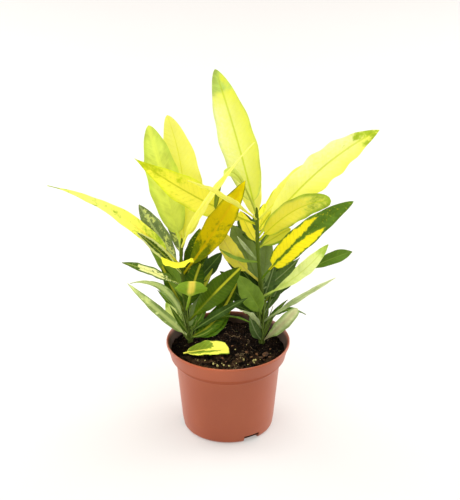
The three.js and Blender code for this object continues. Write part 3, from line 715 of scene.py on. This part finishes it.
# Stems: green, smooth, with a slight joint where each leaf leaves
stemLook = {"young": (0.09, 0.14, 0.010), "old": (0.05, 0.075, 0.010), "scar": (0.22, 0.26, 0.07)}
stalkLook = {"young": (0.22, 0.32, 0.04), "old": (0.13, 0.19, 0.03), "scar": (0.42, 0.44, 0.16)}
barkGrain = {"old": 0.09, "young": 0.2, "fibres": 120.0, "rings": 60.0}  # heights in metres, and scales


def stemMaterial(name, look):
    finish = Finish(name)
    x, y, z = finish.parts(finish.place())
    fibres = finish.grain(finish.joined(x * 9, y * 9, z), barkGrain["fibres"])
    rings = finish.grain(finish.joined(x, y, z * 8), barkGrain["rings"])
    colour = finish.mix(finish.fade(z, barkGrain["old"], barkGrain["young"]), look["old"], look["young"])
    colour = finish.mix(finish.fade(fibres, 0.55, 0.75) * 0.6, colour, look["scar"])
    normal = finish.bump(rings * 0.6 + fibres * 0.4, 0.4, 0.0006)
    return finish.shade(finish.plastic({
        "Base Color": colour, "Roughness": fibres * 0.2 + 0.4, "Normal": normal, "Specular IOR Level": 0.06}))


def makeStem(side, material, leafHeights):
    shape, path, sides = stemShape, stems[side], stemShape["sides"]
    low, high = path[0][2], path[-1][2]
    rings = []
    for z in np.arange(low, high, shape["step"]):
        radius = shape["foot"] + (shape["top"] - shape["foot"]) * (z - low) / (high - low)
        above = [(z - height + shape["jointDrop"]) / shape["jointHalf"] for height in leafHeights]
        radius += shape["joint"] * max(math.exp(-far**2) for far in above)
        rings.append(circle(stemAt(path, z), radius, sides))
    for lift, share in shape["bud"]:
        rings.append(circle(stemAt(path, high) + (0, 0, lift), shape["top"] * share, sides))
    points = np.concatenate(rings)
    faces = ringFaces(len(rings), sides)
    faces.append(tuple(reversed(range(sides))))
    faces.append(tuple(range(len(points) - sides, len(points))))
    nodes = [f"{side}_green_growth", f"{side}_golden_growth"]
    addPiece(side + "Stem", points, faces, material, nodes)


def tube(path, radii, sides):
    # a thin tube with closed ends along a path of points
    path = np.asarray(path, float)
    ahead = unit(np.gradient(path, axis=0))
    side = unit(np.cross(ahead, (0.31, 0.22, 0.92)))
    up = np.cross(ahead, side)
    angles = np.arange(sides) * math.tau / sides
    ring = side[:, None] * np.cos(angles)[None, :, None] + up[:, None] * np.sin(angles)[None, :, None]
    points = (path[:, None] + ring * np.asarray(radii, float)[:, None, None]).reshape(-1, 3)
    faces = [f[::-1] for f in ringFaces(len(path), sides)]
    faces.append(tuple(range(sides)))
    faces.append(tuple(reversed(range(len(points) - sides, len(points)))))
    return points, faces


def joinShapes(shapes):
    points, faces, start = [], [], 0
    for p, f in shapes:
        points.append(p)
        faces += [tuple(i + start for i in face) for face in f]
        start += len(p)
    return np.concatenate(points), faces


# Bare leaf stalks that stand round the foot of each stem
stalks = {
    "count": 26, "low": 82, "high": 104, "rise": (12, 38), "reach": (4, 14), "half": (0.6, 1.0),
    "taper": 0.55, "bow": (-2, 2), "steps": 12, "sides": 8,
}


def makeStalks(side, material, chance):
    shapes = []
    for i in range(stalks["count"]):
        start = stemAt(stems[side], chance.uniform(stalks["low"], stalks["high"]))
        turn = math.tau * (i + chance.uniform(-0.3, 0.3)) / stalks["count"]
        way = np.array([math.cos(turn), math.sin(turn), 0])
        rise, reach = chance.uniform(*stalks["rise"]), chance.uniform(*stalks["reach"])
        half, bow = chance.uniform(*stalks["half"]), chance.uniform(*stalks["bow"])
        u = np.linspace(0, 1, stalks["steps"])[:, None]
        bend = np.array([-way[1], way[0], 0]) * bow
        path = start + way * reach * u**0.7 + np.array([0, 0, rise]) * u + bend * np.sin(math.pi * u)
        shapes.append(tube(path, half * (1 - stalks["taper"] * u[:, 0]), stalks["sides"]))
    points, faces = joinShapes(shapes)
    addPiece(side + "Stalks", points, faces, material, None)


stemSkin = stemMaterial("stemSkin", stemLook)
stalkSkin = stemMaterial("stalkSkin", stalkLook)
makeStem("left", stemSkin, [row["start"] for row in greenLeft + goldenLeft])
makeStem("right", stemSkin, [row["start"] for row in greenRight + goldenRight])
stalkChance = random.Random(5)
makeStalks("left", stalkSkin, stalkChance)
makeStalks("right", stalkSkin, stalkChance)
print("stems: 2, with bare stalks:", 2 * stalks["count"])


# The pot: a tapered body, a rounded shoulder and a wider collar with a rolled lip
pot = {
    "rimRadius": 60, "height": 92, "wall": 1.6, "floor": 2.2, "sides": 144,
    "lip": 0.8, "lipBand": 3, "lipOut": 0.5, "collarFoot": 56, "shoulderTop": 77.5, "shoulderDrop": 8.5,
    "bodyTop": 50.4, "bodyFoot": 44, "corner": 4.5, "insideCorner": 3, "wallSteps": 8, "shoulderSteps": 14,
}
drain = {"count": 3, "firstAngle": -58, "width": 17, "height": 7, "reach": 7}
potLook = {
    # the third colour is a dark tone painted on as shade, inside the collar and in the crease
    "colour": (0.305, 0.043, 0.005), "pale": (0.36, 0.070, 0.014), "paintedShade": (0.014, 0.005, 0.0025),
    "reflection": (1, 0.84, 0.68, 1), "rough": 0.38, "coat": 0.2,
    "clouds": 22.0, "flow": 160.0, "grit": 900.0,  # grain scales
    # heights in metres where the painted shade on the wall inside and the painted shade in the crease start
    # and end
    "insideShadeTop": (0.093, 0.088), "insideShadeFoot": (0.0775, 0.0785), "creaseFoot": (0.070, 0.0715),
    "creaseTop": (0.0775, 0.0755),
    "inside": (0.0365, 0.0375), "slope": 0.235,  # metres from the axis where the inside ends, and its slope
}


def ramp(x, x0, x1, y0, y1):
    return y0 + (y1 - y0) * (x - x0) / (x1 - x0)


def bodyRadius(z):
    return ramp(z, 0, pot["shoulderTop"] - pot["shoulderDrop"], pot["bodyFoot"], pot["bodyTop"])


def collarRadius(z):
    return ramp(z, pot["shoulderTop"], pot["height"], pot["collarFoot"], pot["rimRadius"] - pot["lipOut"])


def quarterTurn(r, z, out, down, steps):
    angles = [math.pi / 2 * i / steps for i in range(steps + 1)]
    return [(r + out * math.sin(a), z - down * math.cos(a)) for a in angles]


def shoulder(inset):
    # a soft double curve from the body out to the collar
    steps = pot["shoulderSteps"]
    shares = [(1 - math.cos(math.pi * i / steps)) / 2 for i in range(steps + 1)]
    inner, outer = pot["bodyTop"] - inset, pot["collarFoot"] - inset
    low, high = pot["shoulderTop"] - pot["shoulderDrop"] + inset * 0.5, pot["shoulderTop"] + inset * 0.2
    return [(ramp(share, 0, 1, inner, outer), ramp(i, 0, steps, low, high)) for i, share in enumerate(shares)]


def potInside(inset):
    skin, base, turn = pot["wall"] + inset, pot["floor"] + inset, pot["insideCorner"]
    foot = pot["shoulderTop"] - pot["shoulderDrop"]
    walls, steps = [], pot["wallSteps"]
    for i in range(1, steps):
        radius = ramp(i, 0, steps, bodyRadius(base), bodyRadius(foot)) - skin
        walls.append((radius, ramp(i, 0, steps, base + turn, foot + skin / 2)))
    corner = quarterTurn(bodyRadius(base) - skin - turn, base + turn, turn, turn, 4)
    return [*corner, *walls, *shoulder(skin)]


def lathe(profile, sides):
    # a closed outline of (radius, height) turned round the middle; its first and last points lie on the axis
    rings = [circle((0, 0, z), r, sides) for r, z in profile[1:-1]]
    points = np.concatenate([*rings, [(0, 0, profile[0][1]), (0, 0, profile[-1][1])]])
    faces = ringFaces(len(rings), sides)
    foot, top, last = len(points) - 2, len(points) - 1, (len(rings) - 1) * sides
    for k in range(sides):
        faces.append((foot, (k + 1) % sides, k))
        faces.append((top, last + k, last + (k + 1) % sides))
    return points, faces


def potMaterial(look):
    finish = Finish("terracottaPlastic")
    place = finish.place()
    x, y, z = finish.parts(place)
    clouds = finish.grain(place, look["clouds"], 4.0)
    flow = finish.grain(finish.joined(x, y, z * 0.25), look["flow"], 3.0)
    grit = finish.grain(place, look["grit"], 2.0)
    colour = finish.mix(finish.fade(clouds, 0.35, 0.75) * 0.35, look["colour"], look["pale"])
    colour = finish.mix(finish.fade(flow, 0.5, 0.8) * 0.18, colour, look["pale"])
    colour = finish.mix(finish.fade(grit, 0.6, 0.75) * 0.15, colour, lit(look["colour"], 0.7))
    radius = finish.sum("SQRT", x * x + y * y)
    within = 1 - finish.fade(radius - z * look["slope"], *look["inside"])  # the wall inside the collar
    # painted shade: the wall inside the collar, between the soil and the lip, is darkened as where shade
    # falls
    insideShade = within * finish.fade(z, *look["insideShadeTop"]) * finish.fade(z, *look["insideShadeFoot"])
    insideShade = insideShade * (clouds * 0.2 + 0.85)
    colour = finish.mix(insideShade, colour, look["paintedShade"])
    crease = finish.fade(z, *look["creaseFoot"]) * finish.fade(z, *look["creaseTop"])  # matt, and darkened a little as painted shade
    colour = finish.mix(crease * 0.05, colour, look["paintedShade"])
    matt = crease + insideShade
    return finish.shade(finish.plastic({
        "Base Color": colour, "Roughness": clouds * 0.14 + matt * 0.4 + look["rough"],
        "Normal": finish.bump(grit * 0.5 + flow * 0.5, 0.25, 0.0003), "Specular IOR Level": 0.9,
        "Specular Tint": look["reflection"], "Coat Weight": look["coat"] - matt * look["coat"],
        "Coat Roughness": 0.3}))


def makePot(material):
    foot = quarterTurn(bodyRadius(0) - pot["corner"], pot["corner"], pot["corner"], pot["corner"], 8)
    band, lip, rim = pot["height"] - pot["lipBand"], pot["lip"], pot["rimRadius"]
    rest = pot["shoulderTop"] - pot["shoulderDrop"]
    walls = [(bodyRadius(z), z) for z in np.linspace(pot["corner"], rest, 12)[1:-1]]
    collar = [(collarRadius(z), z) for z in np.linspace(pot["shoulderTop"], band, 6)[1:]]
    lips = [(rim - 0.15, band + 0.35), (rim, band + lip), (rim, pot["height"] - lip),
            (rim - lip * 0.3, pot["height"] - lip * 0.3), (rim - lip, pot["height"]),
            (rim - 1.7 * lip, pot["height"] - 0.1), (rim - 2 * lip, pot["height"] - lip / 2),
            (collarRadius(band) - pot["wall"], band)]
    inside = potInside(0)[::-1]
    profile = [(0, 0), (20, 0), *foot, *walls, *shoulder(0), *collar, *lips, *inside, (0, pot["floor"])]
    points, faces = lathe(profile, pot["sides"])
    shell = addPiece("potShell", points, faces, material, ["pot"], sharp=32)
    for i in range(drain["count"]):
        cutDrain(shell, math.radians(drain["firstAngle"] + 360 / drain["count"] * i))


def cutDrain(shell, angle):
    bpy.ops.mesh.primitive_cube_add(size=1)
    cutter = bpy.context.object
    cutter.scale = (drain["reach"] * 2 * mm, drain["width"] * mm, drain["height"] * 2 * mm)
    cutter.rotation_euler = (0, 0, angle)
    cutter.location = (bodyRadius(0) * math.cos(angle) * mm, bodyRadius(0) * math.sin(angle) * mm, 0)
    cut = shell.modifiers.new("drain", "BOOLEAN")
    cut.operation = "DIFFERENCE"
    cut.object = cutter
    cut.solver = "EXACT"
    bpy.context.view_layer.objects.active = shell
    bpy.ops.object.modifier_apply(modifier=cut.name)
    bpy.data.objects.remove(cutter)


makePot(potMaterial(potLook))
print("pot: 1")


# Soil: crumbly peat, with loose crumbs, pale bits, a bark chip and a few fibres on it
soil = {"level": 83, "gap": 0.35, "dip": 1.2, "lumpiness": 1.6, "rings": 96, "sides": 240}
soilWaves = [  # rise, radians per millimetre along x and y, and start
    (0.6, 0.19, 0.05, 0.6), (0.45, 0.11, -0.31, 0.0), (0.3, 0.83, 0.37, 0.0), (0.25, -0.29, 0.91, 1.5),
]
soilLumps = [(0.14, 1.1), (0.33, 0.8), (0.8, 0.45)]  # (per millimetre, rise)
soilLook = {
    "wet": (0.0010, 0.0007, 0.0005), "peat": (0.012, 0.006, 0.003), "grit": (0.13, 0.07, 0.035),
    # the fourth tone is a lighter brown painted on as light at the front of the soil
    "litFront": (0.075, 0.042, 0.020), "clodScale": 130.0, "gritScale": 700.0,
}


def soilTop(x, y):
    z = soil["level"] - soil["dip"] * (x * x + y * y) / pot["rimRadius"]**2
    return z + sum(rise * math.sin(px * x + py * y + start) for rise, px, py, start in soilWaves)


def crumbly(x, y):
    # the soil's top with its lumps, which leave the waves' mean level as it is
    lumps = sum(rise * noise.noise((x * per, y * per, per * 17)) for per, rise in soilLumps)
    return soilTop(x, y) + soil["lumpiness"] * lumps


def soilMaterial(look):
    finish = Finish("peat")
    place = finish.place()
    clods = finish.grain(place, look["clodScale"], 4.0, 0.7)
    grit = finish.grain(place, look["gritScale"], 3.0)
    colour = finish.mix(finish.fade(clods, 0.35, 0.75), look["wet"], look["peat"])
    colour = finish.mix(finish.fade(grit, 0.66, 0.74) * 0.8, colour, look["grit"])
    front = finish.fade(finish.parts(place)[1], -0.004, -0.03)  # painted light: lighter brown towards the front, the middle left darker as in shade
    colour = finish.mix(front * finish.fade(clods, 0.42, 0.62) * 0.5, colour, look["litFront"])
    normal = finish.bump(clods * 0.6 + grit * 0.4, 0.9, 0.0012)
    return finish.shade(finish.plastic({
        "Base Color": colour, "Roughness": grit * 0.2 + 0.75, "Normal": normal, "Specular IOR Level": 0.03}))


def soilRadius():
    return collarRadius(soil["level"]) - pot["wall"] - 2 * soil["gap"]


def makeSoil(material):
    level, rings = soil["level"], soil["rings"]
    top = [(soilRadius() * (1 - i / rings), level) for i in range(rings)]
    profile = [(0, pot["floor"] + soil["gap"]), *potInside(soil["gap"]), *top, (0, level)]
    points, faces = lathe(profile, soil["sides"])
    for p in points:
        if p[2] > level - 0.01:
            p[2] = crumbly(p[0], p[1])
    addPiece("soilBody", points, faces, material, ["soil"], sharp=80)


# What lies on the soil. Sizes are in millimetres; tones are the two colours that a kind runs between.
litter = {
    "crumbs": {"count": 1100, "size": (0.5, 1.9), "flat": 0.75, "sink": 0.25, "shine": 0.15,
               "tones": ((0.002, 0.0015, 0.001), (0.050, 0.025, 0.011))},
    "grit": {"count": 110, "size": (0.35, 0.95), "flat": 0.8, "sink": 0.1, "shine": 0.3,
             "tones": ((0.14, 0.10, 0.03), (0.46, 0.40, 0.13))},
    "bark": {"count": 26, "size": (1.3, 3.0), "flat": 0.35, "sink": 0.15, "shine": 0.3,
             "tones": ((0.025, 0.012, 0.006), (0.18, 0.075, 0.022))},
}
placedBits = {  # ones that catch the eye: kind, place and size
    "grit": [
        (15, -27, 2.9), (24.5, -27, 3.8), (26.5, -24, 2.8), (25, -29.5, 2.3), (-14, -34, 2.4),
        (-10, -36, 2.8), (-4, -35, 2.4), (1, -36, 2.2), (-22, -28, 1.3), (-29, -25, 1.1), (7, -6, 1.2),
        (18, 4, 1.1), (31, -22, 1.5), (36, -13, 1.3), (-6, -31, 1.2), (8, -31, 1.3), (19, -33, 1.4),
        (12, -22, 1.0)],
    "bark": [
        (36, -16, 6), (32, -20, 4.2), (4, 3, 2.6), (18, -8, 3.2), (-6, -20, 4), (41, -5, 2.8),
        (22, -18, 4.4), (28, -12, 3.6), (8, -14, 3.4), (40, -20, 3.4), (-2, -28, 3)],
}
litterGrain = {"tone": 260.0, "grit": 1800.0}
bitShape = {  # how far a bit's size, breadth, lean and turn vary, and how knobbly it is
    "size": (0.5, 1), "breadth": (0.5, 0.9), "lean": (-0.5, 0.5), "turn": (0, 6.3),
    "knobs": 0.5, "knobScale": 1.3,
}
fibres = {"count": 30, "length": (3, 11), "half": (0.07, 0.13), "lift": (0.3, 1.8), "steps": 10, "sides": 6,
          "within": 54, "tones": ((0.08, 0.045, 0.02), (0.34, 0.24, 0.12)), "shine": 0.2}
fibreStar = {"at": (11.6, -15.3), "arms": 9, "length": (3, 6)}
clearOfStem = 5.0
clearOfLeaf = 13.5
clearOfWall = 3.5


def clearSpot(x, y, room):
    if math.hypot(x, y) > soilRadius() - clearOfWall - room:
        return False
    for path in stems.values():
        if math.hypot(x - path[1][0], y - path[1][1]) < clearOfStem + room:
            return False
    a, b = np.array(shedLeaf["start"][:2], float), np.array(shedLeaf["tip"][:2], float)
    u = float(np.clip(np.dot((x, y) - a, b - a) / np.dot(b - a, b - a), 0, 1))
    return bool(np.linalg.norm(a + (b - a) * u - (x, y)) > clearOfLeaf + room)


def litterMaterial(kind, look):
    finish = Finish(kind + "Litter")
    place = finish.place()
    tone = finish.fade(finish.grain(place, litterGrain["tone"], 3.0), 0.35, 0.65)
    grit = finish.grain(place, litterGrain["grit"], 2.0)
    return finish.shade(finish.plastic({
        "Base Color": finish.mix(tone, *look["tones"]), "Roughness": grit * 0.2 + 0.7,
        "Specular IOR Level": look["shine"], "Normal": finish.bump(grit, 0.6, 0.0005)}))


def roundStone():
    sphere = bpy.data.meshes.new("stone")
    shape = bmesh.new()
    bmesh.ops.create_icosphere(shape, subdivisions=2, radius=1)
    shape.to_mesh(sphere)
    shape.free()
    points = np.array([v.co for v in sphere.vertices])
    faces = [tuple(f.vertices) for f in sphere.polygons]
    bpy.data.meshes.remove(sphere)
    return points, faces


def randomSpot(chance, within):
    r, turn = within * math.sqrt(chance.random()), chance.uniform(0, math.tau)
    return r * math.cos(turn), r * math.sin(turn)


def makeLitter(kind, look, chance, stone):
    spots = list(placedBits.get(kind, []))
    while len(spots) < look["count"]:
        x, y = randomSpot(chance, pot["rimRadius"])
        size = chance.uniform(*look["size"]) * chance.uniform(*bitShape["size"])
        if clearSpot(x, y, size / 2):
            spots.append((x, y, size))
    shapes = []
    for x, y, size in spots:
        seed = Vector((x * 7, y * 7, size * 90))
        knobs = [noise.noise(Vector(p) * bitShape["knobScale"] + seed) for p in stone[0]]
        points = stone[0] * (1 + bitShape["knobs"] * np.array(knobs))[:, None]
        points *= np.array([1, chance.uniform(*bitShape["breadth"]), look["flat"]]) * size / 2
        lean = Matrix.Rotation(chance.uniform(*bitShape["lean"]), 3, "X")
        turn = Matrix.Rotation(chance.uniform(*bitShape["turn"]), 3, "Z")
        points = points @ np.array(turn @ lean).T
        lift = crumbly(x, y) - points[:, 2].min() - look["sink"] * size
        shapes.append((points + np.array([x, y, lift]), stone[1]))
    points, faces = joinShapes(shapes)
    addPiece("soil" + kind.capitalize(), points, faces, litterMaterial(kind, look), None, sharp=50)


def makeFibres(look, chance):
    starts = []
    while len(starts) < look["count"]:
        x, y = randomSpot(chance, look["within"])
        length, way = chance.uniform(*look["length"]), chance.uniform(0, math.tau)
        ends = [(x + length * u * math.cos(way), y + length * u * math.sin(way)) for u in (0, 0.5, 1)]
        if all(clearSpot(ex, ey, 1) for ex, ey in ends):
            starts.append((x, y, length, way))
    arms = fibreStar["arms"]
    for i in range(arms):
        length, way = chance.uniform(*fibreStar["length"]), math.tau * (i + chance.random()) / arms
        starts.append((*fibreStar["at"], length, way))
    shapes = []
    for x, y, length, way in starts:
        lift, curl = chance.uniform(*look["lift"]), chance.uniform(-1, 1)
        path = []
        for u in np.linspace(0, 1, look["steps"]):
            turn = way + curl * u
            px, py = x + length * u * math.cos(turn), y + length * u * math.sin(turn)
            path.append((px, py, crumbly(px, py) + 0.15 + lift * math.sin(math.pi * u * 0.8)))
        shapes.append(tube(path, np.full(look["steps"], chance.uniform(*look["half"])), look["sides"]))
    points, faces = joinShapes(shapes)
    addPiece("soilFibres", points, faces, litterMaterial("fibre", look), None)


makeSoil(soilMaterial(soilLook))
soilChance = random.Random(23)
stone = roundStone()
for kind, look in litter.items():
    makeLitter(kind, look, soilChance, stone)
makeFibres(fibres, soilChance)
print("soil: 1, with litter:", sum(look["count"] for look in litter.values()), "bits")


# Floor and light: a bright white tent, brightest behind the plant
floorLook = {
    "colour": (0.46, 0.44, 0.42), "glow": (1, 0.965, 0.93, 1), "lift": 0.34, "rough": 0.7, "size": 8.0,
}
lightLook = {
    "world": 0.66, "sky": (1.0, 0.995, 0.985, 1), "aim": (0, 0, 0.15),
    "panels": [  # name, place and size in metres, power in watts
        ("backLeft", (-1.1, 1.0, 0.9), 1.3, 13),
        ("backRight", (1.2, 0.9, 0.8), 1.3, 14),
        ("top", (0.1, -0.1, 1.7), 1.2, 14),
        ("front", (-0.7, -1.5, 1.1), 1.2, 8),
        ("left", (-1.5, 0.4, 0.35), 0.8, 12),
        ("right", (1.5, 0.4, 0.35), 0.8, 11),
    ],
    # a narrow light on the soil and the shed leaf; its cone is in degrees
    "spot": {"at": (-0.12, -1.0, 0.72), "aim": (-0.006, 0.003, 0.085), "cone": 3.4, "blend": 0.5,
             "size": 0.02, "power": 52},
}


def makeFloor(look):
    finish = Finish("paleFloor")
    place = finish.place()
    tone = finish.fade(finish.grain(place, 1.5), 0.3, 0.7)
    colour = finish.mix(tone, look["colour"], lit(look["colour"], 0.985))
    mesh = bpy.data.meshes.new("floor")
    r = look["size"] / 2
    mesh.from_pydata([(-r, -r, 0), (r, -r, 0), (r, r, 0), (-r, r, 0)], [], [(0, 1, 2, 3)])
    surface = finish.plastic({"Base Color": colour, "Roughness": look["rough"],
                              "Emission Color": look["glow"], "Emission Strength": look["lift"]})
    mesh.materials.append(finish.shade(surface))
    floor = bpy.data.objects.new("floor", mesh)
    bpy.context.scene.collection.objects.link(floor)


def addLamp(light, at, aim):
    lamp = bpy.data.objects.new(light.name, light)
    lamp.location = at
    lamp.rotation_euler = (Vector(at) - Vector(aim)).to_track_quat("Z", "Y").to_euler()
    bpy.context.scene.collection.objects.link(lamp)
    return lamp


def makeLights(look):
    world = bpy.data.worlds.new("tent")
    bpy.context.scene.world = world
    world.use_nodes = True
    sky = world.node_tree.nodes["Background"]
    sky.inputs["Color"].default_value = look["sky"]
    sky.inputs["Strength"].default_value = look["world"]
    for name, place, size, power in look["panels"]:
        panel = bpy.data.lights.new(name, "AREA")
        panel.size = size
        panel.energy = power
        addLamp(panel, place, look["aim"]).visible_camera = False
    spot = look["spot"]
    beam = bpy.data.lights.new("soilSpot", "SPOT")
    beam.energy = spot["power"]
    beam.spot_size = math.radians(spot["cone"])
    beam.spot_blend = spot["blend"]
    beam.shadow_soft_size = spot["size"]
    addLamp(beam, spot["at"], spot["aim"])


makeFloor(floorLook)
makeLights(lightLook)
bpy.context.scene.view_settings.view_transform = "Standard"
print("floor and lights")
